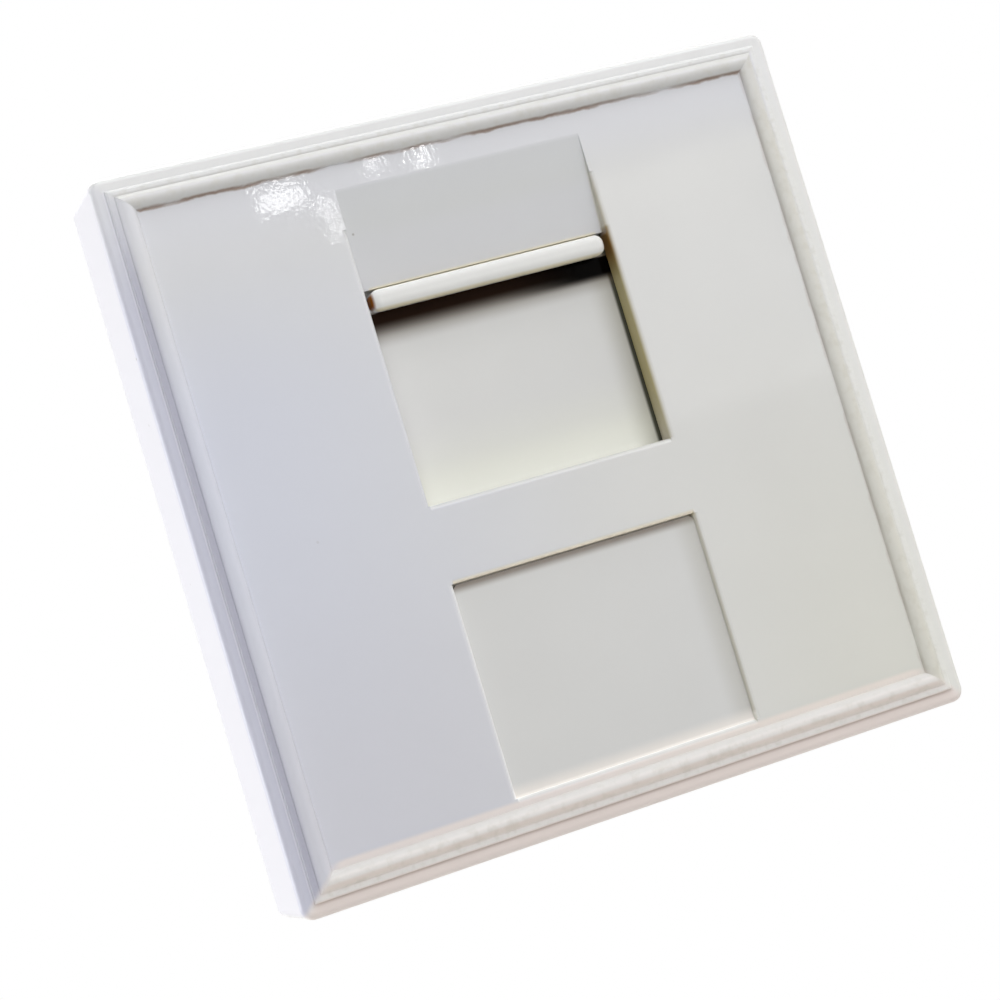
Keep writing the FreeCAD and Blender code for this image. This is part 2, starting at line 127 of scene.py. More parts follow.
# Radius and height of a solder cone and of the tail that stands out of it, in millimetres.
SOLDER_PROFILE = (
    (0.78, 0.0), (0.62, 0.16), (0.42, 0.42), (0.3, 0.66), (0.24, 0.7), (0.22, 1.1), (0.12, 1.2))
SOLDER_SIDES = 14
SOLDER_ROWS = 4
SOLDER_PITCH = 2.54
SOLDER_FROM_MIDDLE = 0.9

# The camera's place in millimetres and its turns about X, Y and Z in degrees.
CAMERA_PLACE = (-90.17, -261.38, -15.22)
CAMERA_TURN = (92.5597, 16.819, -17.7329)
SENSOR_WIDTH = 36.0
NEAR_CLIP = 0.01
# Each lamp: direction from the middle of the face, distance and width in metres, colour and watts.
LAMPS = (
    ("key", (0.280, -0.574, 0.770), 0.5, 0.5, "#ffffff", 1.75),
    ("fill", (-0.3, -0.9, 0.3), 0.9, 0.8, "#ffffff", 2.6),
    ("high", (0.246, -0.309, 0.919), 0.8, 0.5, "#ffffff", 1.2),
    ("right", (0.966, -0.259, 0.0), 0.8, 0.4, "#fff4e0", 0.6),
    ("behind_left", (-0.940, 0.342, 0.0), 0.8, 0.4, "#ffffff", 4.5),
    ("behind_top", (0.0, 0.342, 0.940), 0.8, 0.4, "#ffffff", 4.4),
    ("sheen", (0.444, -0.887, 0.124), 0.82, 0.12, "#ffffff", 0.04),
    ("glint_left", (0.2283, -0.9473, 0.2287), 1.0135, 0.0125, "#ffffff", 0.0041),
    ("glint_right", (0.2403, -0.9443, 0.2287), 1.0135, 0.0125, "#ffffff", 0.0041),
    ("speckle", (0.289, -0.940, 0.2346), 1.0, 0.006, "#ffffff", 0.0016),
    ("rim_low", (0.2588, -0.940, 0.2034), 1.0, 0.006, "#ffffff", 0.0014),
    ("rim_high", (0.2564, -0.940, 0.2157), 1.0, 0.006, "#ffffff", 0.0014),
    ("spark", (0.3174, -0.9397, 0.2330), 1.0, 0.006, "#ffffff", 0.0026),
)
# The floor's radius in metres, and the shares of it between which it fades to white.
FLOOR_RADIUS = 0.5
FLOOR_SEGMENTS = 96
FLOOR_FADE = (0.3, 0.95)


def linear(code):
    """Turn an sRGB hex code into linear red, green, blue and alpha."""
    parts = [int(code[i:i + 2], 16) / 255.0 for i in (1, 3, 5)]
    return tuple(c / 12.92 if c <= 0.04045 else ((c + 0.055) / 1.055) ** 2.4 for c in parts) + (1.0,)


class SocketFinish(bpy.types.PropertyGroup):
    """How the mouldings and metals are finished."""

    cover_tone: bpy.props.FloatVectorProperty(
        name="Cover colour", description="Colour of the clean cover", default=linear("#dddddc"),
        size=4, min=0.0, max=1.0, subtype="COLOR")
    shutter_tone: bpy.props.FloatVectorProperty(
        name="Shutter colour", description="Colour of the clean shutter", default=linear("#dededd"),
        size=4, min=0.0, max=1.0, subtype="COLOR")
    insert_tone: bpy.props.FloatVectorProperty(
        name="Insert colour", description="Colour of the clean label insert", default=linear("#d8d8d7"),
        size=4, min=0.0, max=1.0, subtype="COLOR")
    jack_tone: bpy.props.FloatVectorProperty(
        name="Jack colour", description="Colour of the jack housing", default=linear("#26272a"),
        size=4, min=0.0, max=1.0, subtype="COLOR")
    gloss: bpy.props.FloatProperty(
        name="Gloss roughness", description="Roughness of the polished mouldings", default=0.02,
        min=0.0, max=1.0, subtype="FACTOR")
    rubbed: bpy.props.FloatProperty(
        name="Rubbed roughness", description="Roughness of the edges that hands have worn", default=0.42,
        min=0.0, max=1.0, subtype="FACTOR")
    peel: bpy.props.FloatProperty(
        name="Orange peel", description="Length of the ripple in a gloss moulding", default=0.5 * MM,
        unit="LENGTH")
    # Scales the dirt and wear, and also the painted shade and light laid on the same masks.
    wear_and_shade: bpy.props.FloatProperty(
        name="Wear", description="How much dirt sits in the seams", default=1.0, min=0.0, max=1.0,
        subtype="FACTOR")
    wire: bpy.props.FloatProperty(
        name="Spring wire", description="Thickness of the spring wire", default=0.36 * MM, unit="LENGTH")
    coils: bpy.props.FloatProperty(
        name="Spring turns", description="Turns of each return spring", default=22.0, min=4.0)


class SocketStage(bpy.types.PropertyGroup):
    """Camera and light of the picture."""

    lens: bpy.props.FloatProperty(
        name="Lens", description="Focal length on a 36 mm wide sensor, in millimetres", default=81.87)
    light: bpy.props.FloatProperty(
        name="Light", description="Factor on all lamps", default=1.0, min=0.0)
    floor_drop: bpy.props.FloatProperty(
        name="Floor drop", description="How far the floor lies below the middle", default=0.2,
        unit="LENGTH")


def node(tree, kind, sockets=None, **settings):
    """Add one shader node with its settings; a socket's value is a number, a colour or an output."""
    made = tree.nodes.new("ShaderNode" + kind)
    for key, value in settings.items():
        setattr(made, key, value)
    for key, value in (sockets or {}).items():
        if isinstance(value, bpy.types.NodeSocket):
            tree.links.new(value, made.inputs[key])
        else:
            made.inputs[key].default_value = value
    return made


def blank(name):
    """Start an empty material and give its tree, its shader and its place in millimetres."""
    material = bpy.data.materials.new(name)
    material.use_nodes = True
    tree = material.node_tree
    tree.nodes.clear()
    shader = node(tree, "BsdfPrincipled")
    node(tree, "OutputMaterial", {"Surface": shader.outputs[0]})
    coord = node(tree, "TexCoord")
    place = node(tree, "VectorMath", {0: coord.outputs["Object"], "Scale": 1 / MM}, operation="SCALE")
    return material, tree, shader, place.outputs[0]


def moulding(name, tone, drift, gloss, peel, depth):
    """A moulded plastic whose tone drifts slowly and whose skin has a fine ripple and duller patches."""
    material, tree, shader, place = blank(name)
    slow = node(tree, "TexNoise", {"Vector": place, "Scale": 1 / DRIFT_SIZE, "Detail": 2.0})
    patch = node(tree, "MapRange", {0: slow.outputs[0], 1: 0.35, 2: 0.65})
    colour = node(tree, "Mix", {0: patch.outputs[0], 6: tuple(tone), 7: drift}, data_type="RGBA")
    ripple = node(tree, "TexNoise", {"Vector": place, "Scale": MM / peel, "Detail": 1.5})
    wave = node(tree, "TexNoise", {"Vector": place, "Scale": 1 / WAVE_SIZE, "Detail": 1.5})
    relief = node(tree, "Math", {0: wave.outputs[0], 1: WAVE_HEIGHT, 2: ripple.outputs[0]},
                  operation="MULTIPLY_ADD")
    bump = node(tree, "Bump", {"Strength": 1.0, "Distance": depth, "Height": relief.outputs[0]})
    dull = node(tree, "MapRange", {0: slow.outputs[0], 1: 0.3, 2: 0.7, 3: gloss * 0.8, 4: gloss * 1.3})
    tree.links.new(dull.outputs[0], shader.inputs["Roughness"])
    tree.links.new(bump.outputs[0], shader.inputs["Normal"])
    tree.links.new(colour.outputs[2], shader.inputs["Base Color"])
    return material, tree, shader, place, colour.outputs[2]


def dress(material, *names):
    """Give CAD nodes their finish."""
    for name in names:
        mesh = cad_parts[name].data
        mesh.materials.clear()
        mesh.materials.append(material)


def stain(tree, under, code, amount, *limits):
    """Lay a stain over a colour; each limit is a measure and the values between which it fades in."""
    mask = amount
    for measure, start, end in limits:
        fade = node(tree, "MapRange", {0: measure, 1: start, 2: end}, interpolation_type="SMOOTHSTEP")
        mask = node(tree, "Math", {0: fade.outputs[0], 1: mask}, operation="MULTIPLY").outputs[0]
    return node(tree, "Mix", {0: mask, 6: under, 7: linear(code)}, data_type="RGBA").outputs[2]


def away_from(tree, measure, middle):
    """How far a measure lies from a middle value, to either side."""
    gap = node(tree, "Math", {0: measure, 1: middle}, operation="SUBTRACT").outputs[0]
    return node(tree, "Math", {0: gap}, operation="ABSOLUTE").outputs[0]


def cover_places(tree, place):
    """Measures over the cover, in millimetres, and limits that hold on one mitred side of its edge."""
    across, depth, up = node(tree, "SeparateXYZ", {0: place}).outputs
    normal = node(tree, "TexCoord").outputs["Normal"]
    _, facing, upright = node(tree, "SeparateXYZ", {0: normal}).outputs
    wide = node(tree, "Math", {0: across}, operation="ABSOLUTE").outputs[0]
    tall = node(tree, "Math", {0: up}, operation="ABSOLUTE").outputs[0]
    ring = node(tree, "Math", {0: wide, 1: tall}, operation="MAXIMUM").outputs[0]
    over_top = node(tree, "Math", {0: up, 1: wide}, operation="SUBTRACT").outputs[0]
    over_bottom = node(tree, "Math", {0: up, 1: wide}, operation="ADD").outputs[0]
    over_right = node(tree, "Math", {0: across, 1: tall}, operation="SUBTRACT").outputs[0]
    over_left = node(tree, "Math", {0: across, 1: tall}, operation="ADD").outputs[0]
    return SimpleNamespace(
        across=across, depth=depth, up=up, wide=wide, ring=ring, facing=facing, upright=upright,
        top=(over_top, -SHARP_MITRE, SHARP_MITRE), right=(over_right, -SHARP_MITRE, SHARP_MITRE),
        bottom=(over_bottom, SOFT_MITRE, -SOFT_MITRE), left=(over_left, SOFT_MITRE, -SOFT_MITRE),
        off_left=(over_left, -SOFT_MITRE, SOFT_MITRE))


def rubbed_edges(tree, shader, at, dullness):
    """Take the polish off the raised edge and every rounded rim, where hands have rubbed."""
    turned = node(tree, "MapRange", {0: at.facing, 1: -0.985, 2: -0.9}).outputs[0]
    raised = node(tree, "MapRange", {0: at.ring, 1: BEAD_FOOT, 2: BEAD_FOOT + 0.2}).outputs[0]
    rubbed = node(tree, "Math", {0: turned, 1: raised}, operation="MAXIMUM").outputs[0]
    polish = shader.inputs["Roughness"].links[0].from_socket
    rough = node(tree, "Mix", {0: rubbed, 2: polish, 3: dullness}).outputs[0]
    tree.links.new(rough, shader.inputs["Roughness"])


def frame_edge_painted_light_and_dirt(tree, colour, place, at, wear_and_shade):
    """Painted light and shade on the stepped edge, grey above, olive on the right, cold on the left and
    pinkish below, with scuffs and dirt.
    """
    outer = (at.ring, SHELF_MIDDLE - 0.4, SHELF_MIDDLE)
    front = (at.depth, LEDGE_DEPTH + 1.1, LEDGE_DEPTH + 0.5)
    bead = (at.ring, BEAD_FOOT - 0.1, BEAD_FOOT + 0.2)
    # Painted light on the outer ledge.
    colour = stain(tree, colour, "#ebebe9", 0.6, outer, at.off_left)
    # Painted cold shade on the left side fades out towards the upper corner.
    below = (at.up, PLATE_HALF, PLATE_HALF - 17.0)
    colour = stain(tree, colour, "#c6c7d6", 0.85, outer, at.left, below, front)
    # Painted shade in the crease of the left side, and painted light on its step.
    crease = away_from(tree, at.ring, SHELF_MIDDLE)
    colour = stain(tree, colour, "#a9a9b8", 0.7, (crease, 0.95, 0.2), at.left, below)
    step = away_from(tree, at.ring, LEDGE_FOOT + 0.05)
    colour = stain(tree, colour, "#f4f4fb", 0.4, (step, 0.22, 0.1), at.left)
    # Below: a pink cast of painted light on the strip under the label and on the lower ledge, and painted
    # shade on the lower bead and in its valley.
    colour = stain(tree, colour, "#f2e6df", 0.7, (at.up, LABEL_FOOT, LABEL_FOOT - 0.6), at.bottom, front)
    colour = stain(tree, colour, "#ebe8e6", 0.9, (at.ring, BEAD_FOOT - 0.2, BEAD_FOOT + 0.2), at.bottom)
    colour = stain(tree, colour, "#e6dad5", 0.9, (at.ring, LEDGE_FOOT - 0.3, LEDGE_FOOT), at.bottom, front)
    flank = away_from(tree, at.ring, BEAD_FLANK)
    colour = stain(tree, colour, "#dccabf", 0.55, (flank, 0.6, 0.15), at.bottom)
    # Painted shade greys the top bead and dims the right bead to olive.
    colour = stain(tree, colour, "#c9c8c4", 0.7, bead, (at.ring, BEAD_FLANK + 0.2, BEAD_FLANK - 0.8), at.top)
    colour = stain(tree, colour, "#c0bfba", 0.6, (at.ring, BEAD_FLANK - 0.4, BEAD_FLANK),
                   (at.ring, SHELF_MIDDLE, SHELF_MIDDLE - 0.3), at.top)
    colour = stain(tree, colour, "#d3d1c6", 0.55, bead, (at.ring, BEAD_FLANK + 0.6, BEAD_FLANK - 0.6),
                   at.right)
    scuff = node(tree, "TexNoise", {"Vector": place, "Scale": 1 / SCUFF_SIZE, "Detail": 2.0}).outputs[0]
    colour = stain(tree, colour, "#bdb9aa", 0.2 * wear_and_shade, (scuff, 0.45, 0.7),
                   (at.ring, BEAD_FOOT, BEAD_FOOT + 0.5), (at.ring, LEDGE_FOOT, LEDGE_FOOT - 0.5),
                   at.off_left)
    # Painted shadow at the foot of the step on the lower ledge.
    ledge = away_from(tree, at.ring, LEDGE_FOOT)
    colour = stain(tree, colour, "#9a8073", 0.35 * wear_and_shade, (ledge, 0.45, 0.05), (at.depth, FACE, FACE + 0.2),
                   at.bottom)
    # Brown dirt with painted shade in the foot of the bead, ragged along the top and faint down the right
    # side.
    grit = node(tree, "TexNoise", {"Vector": place, "Scale": 1 / GRIT_SIZE, "Detail": 4.0}).outputs[0]
    shift = node(tree, "MapRange", {0: grit, 1: 0.25, 2: 0.75, 3: -0.2, 4: 0.2}).outputs[0]
    patchy = node(tree, "TexNoise", {"Vector": place, "Scale": 1 / GRIT_PATCH, "Detail": 2.0}).outputs[0]
    ragged = node(tree, "Math", {0: at.ring, 1: shift}, operation="ADD").outputs[0]
    seam = away_from(tree, ragged, BEAD_FOOT)
    for side, amount in ((at.top, 0.75), (at.right, 0.2)):
        colour = stain(tree, colour, "#86664a", amount * wear_and_shade, (seam, 0.36, 0.04), side,
                       (at.depth, FACE - 0.5, FACE - 0.2), (patchy, 0.25, 0.6))
    return colour


def opening_dirt_and_painted_shading(tree, colour, at, wear_and_shade):
    """Painted shade and dirt in the openings: olive and brown on the window's right wall, a grey ramp, and
    painted light and shade round the label.
    """
    lip = ((at.across, CHANNEL_SIDE - 0.3, CHANNEL_SIDE - 0.1),
           (at.across, CHANNEL_SIDE + 0.7, CHANNEL_SIDE + 0.3), (at.depth, FACE - 0.1, FACE + 0.5))
    window = (at.up, WINDOW_TOP + 0.7, WINDOW_TOP + 0.2)
    # The window's right wall and the wall beside the ramp: an olive tint with painted shade that deepens
    # upwards and turns brown by the grip bar.
    colour = stain(tree, colour, "#b0a25c", 0.85 * wear_and_shade, (at.up, WINDOW_FOOT - 11.5, WINDOW_FOOT + 8.5),
                   (at.up, WINDOW_FOOT - 0.5, WINDOW_FOOT + 0.1), window, *lip)
    colour = stain(tree, colour, "#7a5210", 0.9 * wear_and_shade, (at.up, BAR_FOOT - 3.8, BAR_FOOT + 0.7), window,
                   *lip)
    colour = stain(tree, colour, "#b0a25c", 0.5 * wear_and_shade, (at.up, WINDOW_TOP - 0.2, WINDOW_TOP + 0.7),
                   (at.up, RAMP_TOP - 0.5, RAMP_TOP - 8.5), *lip)
    # Painted shade greys the finger ramp, and it is cream along its lower edge.
    ramp_foot = (at.up, WINDOW_TOP - 0.5, WINDOW_TOP - 0.1)
    colour = stain(tree, colour, "#c9cbcc", 0.6 * wear_and_shade, (at.wide, CHANNEL_SIDE + 0.1, CHANNEL_SIDE - 0.1),
                   (at.up, RAMP_TOP + 0.1, RAMP_TOP - 0.5), ramp_foot)
    colour = stain(tree, colour, "#efe4bb", 0.5 * wear_and_shade, (at.up, WINDOW_TOP + 0.4, WINDOW_TOP), ramp_foot,
                   (at.wide, CHANNEL_SIDE - 0.7, CHANNEL_SIDE - 1.3), (at.depth, FACE + 0.8, FACE + 1.4))
    # The label recess: painted light makes it cream under its top, pale on its left and white at its foot;
    # painted shade makes it olive on its right.
    foot = (at.up, LABEL_FOOT - 0.4, LABEL_FOOT - 0.1)
    walls = ((at.up, LABEL_TOP + 0.3, LABEL_TOP - 0.2), foot, (at.depth, FACE - 0.1, FACE + 0.3))
    colour = stain(tree, colour, "#fff4dc", 0.8 * wear_and_shade, (at.up, LABEL_TOP - 0.4, LABEL_TOP - 0.1),
                   (at.up, LABEL_TOP + 0.6, LABEL_TOP + 0.3),
                   (at.wide, CHANNEL_SIDE + 0.3, CHANNEL_SIDE - 0.1), (at.depth, FACE - 0.1, FACE + 0.2))
    colour = stain(tree, colour, "#f4f4f4", 0.8, (at.across, 0.3 - CHANNEL_SIDE, 0.1 - CHANNEL_SIDE),
                   (at.across, -0.8 - CHANNEL_SIDE, -0.5 - CHANNEL_SIDE), *walls)
    colour = stain(tree, colour, "#ffffff", 1.0, (at.up, LABEL_FOOT + 1.2, LABEL_FOOT + 0.7), foot,
                   (at.wide, CHANNEL_SIDE + 0.5, CHANNEL_SIDE + 0.2), (at.depth, FACE, FACE + 0.3),
                   (at.depth, FACE + 2.5, FACE + 2.0))
    return stain(tree, colour, "#b5ad85", 0.35 * wear_and_shade, (at.across, CHANNEL_SIDE - 0.3, CHANNEL_SIDE - 0.1),
                 (at.across, CHANNEL_SIDE + 0.4, CHANNEL_SIDE + 0.1), *walls)


def cover_plastic(finish):
    """White gloss ABS: a polished face, edges that hands have rubbed dull, brown dirt in the seams, and
    painted light and shade in its tints and openings.
    """
    material, tree, shader, place, colour = moulding(
        "cover_abs_moulded_gloss", finish.cover_tone, linear("#dadad9"), finish.gloss, finish.peel,
        GLOSS_RIPPLE)
    at = cover_places(tree, place)
    wear_and_shade = finish.wear_and_shade
    rubbed_edges(tree, shader, at, finish.rubbed)
    # Painted light: a cool cast on the left side, darker on the lower left, a warm cast on the right and a
    # cool tint over the top; the skirt is kept neutral.
    for code, amount, across, up in COVER_LIGHT_CASTS:
        colour = stain(tree, colour, code, amount, (at.across, *across), (at.up, *up))
    colour = stain(tree, colour, "#dcdde4", 0.7, (at.up, RAMP_TOP - 7.5, RAMP_TOP + 1.5))
    colour = stain(tree, colour, "#e0dfe5", 0.9, (at.depth, LEDGE_DEPTH + 0.2, LEDGE_DEPTH + 0.6))
    colour = frame_edge_painted_light_and_dirt(tree, colour, place, at, wear_and_shade)
    colour = opening_dirt_and_painted_shading(tree, colour, at, wear_and_shade)
    # Painted shade greys the rims that face up, holding down the light that falls on them from above.
    colour = stain(tree, colour, "#c2c2bf", 0.5 * wear_and_shade, (at.upright, 0.2, 0.6), (at.facing, -0.1, -0.4))
    # A few dark specks in the skin.
    spots = node(tree, "TexVoronoi", {"Vector": place, "Scale": 1 / SPECK_SPACING})
    few = node(tree, "SeparateColor", {0: spots.outputs["Color"]}).outputs[0]
    colour = stain(tree, colour, "#7f776c", 0.55 * wear_and_shade, (spots.outputs["Distance"], 0.035, 0.015),
                   (few, 0.8, 0.85))
    tree.links.new(colour, shader.inputs["Base Color"])
    return material


def shutter_plastic(finish):
    """Shutter: the cover's ABS, with painted light making it cream at the foot of the window and on top of
    the bar, and painted shade with finger grime under the grip bar and at its ends.
    """
    material, tree, shader, place, colour = moulding(
        "shutter_abs_moulded_gloss", finish.shutter_tone, linear("#dbdbda"), finish.gloss * 1.3,
        finish.peel, GLOSS_RIPPLE)
    shader.inputs["Specular IOR Level"].default_value = 0.02
    across, depth, up = node(tree, "SeparateXYZ", {0: place}).outputs
    normal = node(tree, "TexCoord").outputs["Normal"]
    sideways, _, upright = node(tree, "SeparateXYZ", {0: normal}).outputs
    wide = node(tree, "Math", {0: across}, operation="ABSOLUTE").outputs[0]
    end = node(tree, "Math", {0: sideways}, operation="ABSOLUTE").outputs[0]
    wear_and_shade = finish.wear_and_shade
    slide = (depth, SHUTTER_FACE - 0.5, SHUTTER_FACE - 0.2)
    # Painted bounce light: the shutter turns lighter and cream towards the foot of the window.
    colour = stain(tree, colour, "#eaebde", 0.7, (up, WINDOW_FOOT + 10.5, WINDOW_FOOT - 0.5), slide)
    colour = stain(tree, colour, "#f6f7ec", 0.6, (up, WINDOW_FOOT + 5.5, WINDOW_FOOT + 0.5), slide)
    colour = stain(tree, colour, "#ebebe9", 0.8, (depth, SHUTTER_FACE - 0.7, SHUTTER_FACE - 1.3))
    # Painted shade along the right edge, darkest in the gap by the window's right wall.
    colour = stain(tree, colour, "#8a8670", 0.3 * wear_and_shade, (across, CHANNEL_SIDE - 4.0, CHANNEL_SIDE - 0.5),
                   slide)
    colour = stain(tree, colour, "#2a2a0c", 0.9 * wear_and_shade, (across, CHANNEL_SIDE - 0.65, CHANNEL_SIDE - 0.2),
                   (depth, SHUTTER_FACE + 0.2, SHUTTER_FACE + 0.05))
    # Painted shadow under the grip bar, laid with finger grime, blackest towards the right.
    under = ((up, BAR_FOOT + 0.15, BAR_FOOT), (depth, SHUTTER_FACE - 1.5, SHUTTER_FACE - 0.7))
    colour = stain(tree, colour, "#6a5c4a", 0.7 * wear_and_shade, (up, BAR_FOOT - 4.4, BAR_FOOT - 1.6),
                   (up, BAR_FOOT + 0.5, BAR_FOOT + 0.1), (depth, SHUTTER_FACE - 0.6, SHUTTER_FACE - 0.2))
    colour = stain(tree, colour, "#220f03", 0.98 * wear_and_shade, (up, BAR_FOOT - 3.0, BAR_FOOT - 1.0), *under)
    colour = stain(tree, colour, "#050302", 1.0 * wear_and_shade, (up, BAR_FOOT - 2.9, BAR_FOOT - 1.8),
                   (across, 0.0, CHANNEL_SIDE - 3.5), *under)
    # Painted shade with finger grime, warm brown on the ends of the bar and tan on its underside; painted
    # light makes its top cream.
    bar = (depth, SHUTTER_FACE - 0.1, SHUTTER_FACE - 0.5)
    colour = stain(tree, colour, "#824a08", 1.0 * wear_and_shade, (end, 0.6, 0.95),
                   (wide, BAR_END - 0.9, BAR_END - 0.2), bar)
    colour = stain(tree, colour, "#fdf3d0", 0.45 * wear_and_shade, (upright, 0.8, 0.99),
                   (up, BAR_TOP - 0.5, BAR_TOP - 0.1), bar)
    colour = stain(tree, colour, "#c9ba86", 0.6 * wear_and_shade, (upright, -0.6, -0.95),
                   (depth, SHUTTER_FACE - 0.9, SHUTTER_FACE - 1.5))
    tree.links.new(colour, shader.inputs["Base Color"])
    return material


def insert_plastic(finish):
    """Label insert: white ABS with a satin skin, with painted shadow along its top, painted shade along its
    right and painted light at its foot.
    """
    material, tree, shader, place, colour = moulding(
        "insert_abs_moulded_satin", finish.insert_tone, linear("#d5d5d4"), finish.gloss * 2.0, finish.peel,
        GLOSS_RIPPLE)
    across, _, up = node(tree, "SeparateXYZ", {0: place}).outputs
    wear_and_shade = finish.wear_and_shade
    # Painted shadow along the top, under the recess's edge, and painted shade along the right.
    colour = stain(tree, colour, "#6d5a48", 0.75 * wear_and_shade, (up, LABEL_TOP - 1.4, LABEL_TOP - 0.3))
    colour = stain(tree, colour, "#a8a496", 0.35 * wear_and_shade, (across, CHANNEL_SIDE - 3.5, CHANNEL_SIDE - 0.2))
    # Painted light towards the foot.
    colour = stain(tree, colour, "#f2ece6", 0.8, (up, LABEL_FOOT + 1.9, LABEL_FOOT + 0.2))
    colour = stain(tree, colour, "#fffaf4", 1.0, (up, LABEL_FOOT + 0.4, LABEL_FOOT + 0.1))
    tree.links.new(colour, shader.inputs["Base Color"])
    return material


def board_laminate():
    """Glass-epoxy board: green mask over rectangular copper pours, and yellow laminate at its sawn edges."""
    material, tree, shader, place, colour = moulding(
        "board_glass_epoxy_masked", linear("#1f6a45"), linear("#1a5c3b"), 0.35, 0.6 * MM, MATTE_RIPPLE)
    pours = node(tree, "TexVoronoi", {"Vector": place, "Scale": 1 / POUR_SIZE}, distance="CHEBYCHEV")
    share = node(tree, "SeparateColor", {0: pours.outputs["Color"]}).outputs[0]
    colour = stain(tree, colour, "#2f8a5a", 0.7, (share, 0.45, 0.55))
    facing = node(tree, "SeparateXYZ", {0: node(tree, "TexCoord").outputs["Normal"]}).outputs[1]
    sawn = node(tree, "Math", {0: facing}, operation="ABSOLUTE").outputs[0]
    colour = stain(tree, colour, "#b9a878", 1.0, (sawn, 0.6, 0.4))
    tree.links.new(colour, shader.inputs["Base Color"])
    return material


def cap_plastic(finish):
    """Wire cap: smoky gloss polycarbonate, with a colour patch on its back for each wire it presses in."""
    material, tree, shader, place, colour = moulding(
        "cap_polycarbonate_moulded_grey", linear("#c2c7cc"), linear("#b8bdc3"), finish.gloss * 1.5,
        finish.peel, GLOSS_RIPPLE)
    _, depth, up = node(tree, "SeparateXYZ", {0: place}).outputs
    low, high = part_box("wire_cap_left")
    pitch = (high[2] - low[2]) / MM / len(WIRE_COLOURS)
    back = (depth, high[1] / MM - 0.1, high[1] / MM - 0.05)
    for index, code in enumerate(WIRE_COLOURS):
        off = away_from(tree, up, low[2] / MM + pitch * (index + 0.5))
        colour = stain(tree, colour, code, 0.85, back,
                       (off, pitch * (WIRE_PATCH + 0.02), pitch * WIRE_PATCH))
    tree.links.new(colour, shader.inputs["Base Color"])
    return material


def plated_metal(name, tone, drift, rough, grain):
    """A plated or drawn metal: streaks along the strip that change its tone and its shine."""
    material, tree, shader, place = blank(name)
    streak = node(tree, "Mapping", {0: place, "Scale": grain})
    noise = node(tree, "TexNoise", {"Vector": streak.outputs[0], "Scale": 1.0, "Detail": 3.0})
    colour = node(tree, "Mix", {0: noise.outputs[0], 6: linear(tone), 7: linear(drift)}, data_type="RGBA")
    gloss = node(tree, "MapRange", {0: noise.outputs[0], 1: 0.3, 2: 0.7, 3: rough * 0.7, 4: rough * 1.4})
    tree.links.new(colour.outputs[2], shader.inputs["Base Color"])
    tree.links.new(gloss.outputs[0], shader.inputs["Roughness"])
    shader.inputs["Metallic"].default_value = 1.0
    return material


def close_tube(mesh, rings):
    """Join rings of vertices, each to the next, and close both ends."""
    count = len(rings[0])
    for first, second in zip(rings, rings[1:]):
        for side in range(count):
            after = (side + 1) % count
            mesh.faces.new((first[side], first[after], second[after], second[side]))
    mesh.faces.new(rings[0])
    mesh.faces.new(rings[-1])


def finished(name, mesh, smooth=True):
    """Turn a bmesh into a piece that rides on the socket's body."""
    bmesh.ops.recalc_face_normals(mesh, faces=mesh.faces)
    data = bpy.data.meshes.new(name)
    mesh.to_mesh(data)
    mesh.free()
    if smooth:
        data.shade_smooth()
    piece = bpy.data.objects.new(name, data)
    bpy.context.scene.collection.objects.link(piece)
    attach(piece, ROOT)
    return piece


class SOCKET_OT_front_cover(bpy.types.Operator):
    """Finish the front cover"""

    bl_idname = "socket.front_cover"
    bl_label = "Front cover"

    def execute(self, context):
        dress(cover_plastic(context.scene.socket_finish), "front_cover")
        return {"FINISHED"}


class SOCKET_OT_shutter(bpy.types.Operator):
    """Finish the sliding shutter"""

    bl_idname = "socket.shutter"
    bl_label = "Shutter"

    def execute(self, context):
        dress(shutter_plastic(context.scene.socket_finish), "shutter")
        return {"FINISHED"}


class SOCKET_OT_label_insert(bpy.types.Operator):
    """Draw the label insert up to the walls of its recess and finish it"""

    bl_idname = "socket.label_insert"
    bl_label = "Label insert"

    def execute(self, context):
        plate = self.plate()
        plate.data.materials.append(insert_plastic(context.scene.socket_finish))
        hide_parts("label_insert")
        return {"FINISHED"}

    def plate(self):
        """A flat plate with square lower and rounded upper corners."""
        outline = [(-CHANNEL_SIDE, LABEL_FOOT), (CHANNEL_SIDE, LABEL_FOOT)]
        reach = CHANNEL_SIDE - LABEL_CORNER
        for middle, first in ((reach, 0.0), (-reach, math.pi / 2)):
            for step in range(LABEL_CORNER_STEPS + 1):
                angle = first + math.pi / 2 * step / LABEL_CORNER_STEPS
                outline.append((middle + LABEL_CORNER * math.cos(angle),
                                LABEL_HIGH[2] + LABEL_CORNER * (math.sin(angle) - 1.0)))
        mesh = bmesh.new()
        front = mesh.faces.new([mesh.verts.new(Vector((x, LABEL_LOW[1], z)) * MM) for x, z in outline])
        grown = bmesh.ops.extrude_face_region(mesh, geom=[front])["geom"]
        back = [part for part in grown if isinstance(part, bmesh.types.BMVert)]
        thickness = Vector((0.0, LABEL_HIGH[1] - LABEL_LOW[1], 0.0)) * MM
        bmesh.ops.translate(mesh, verts=back, vec=thickness)
        return finished("label_plate", mesh, smooth=False)


class SOCKET_OT_mounting_frame(bpy.types.Operator):
    """Finish the mounting frame"""

    bl_idname = "socket.mounting_frame"
    bl_label = "Mounting frame"

    def execute(self, context):
        # ABS from a spark-eroded tool: a dull white with a fine grain.
        matte = moulding("frame_abs_moulded_matte", linear("#dadad5"), linear("#d3d3cd"), 0.5, 0.5 * MM,
                         COARSE_RIPPLE)[0]
        dress(matte, "base_frame")
        return {"FINISHED"}


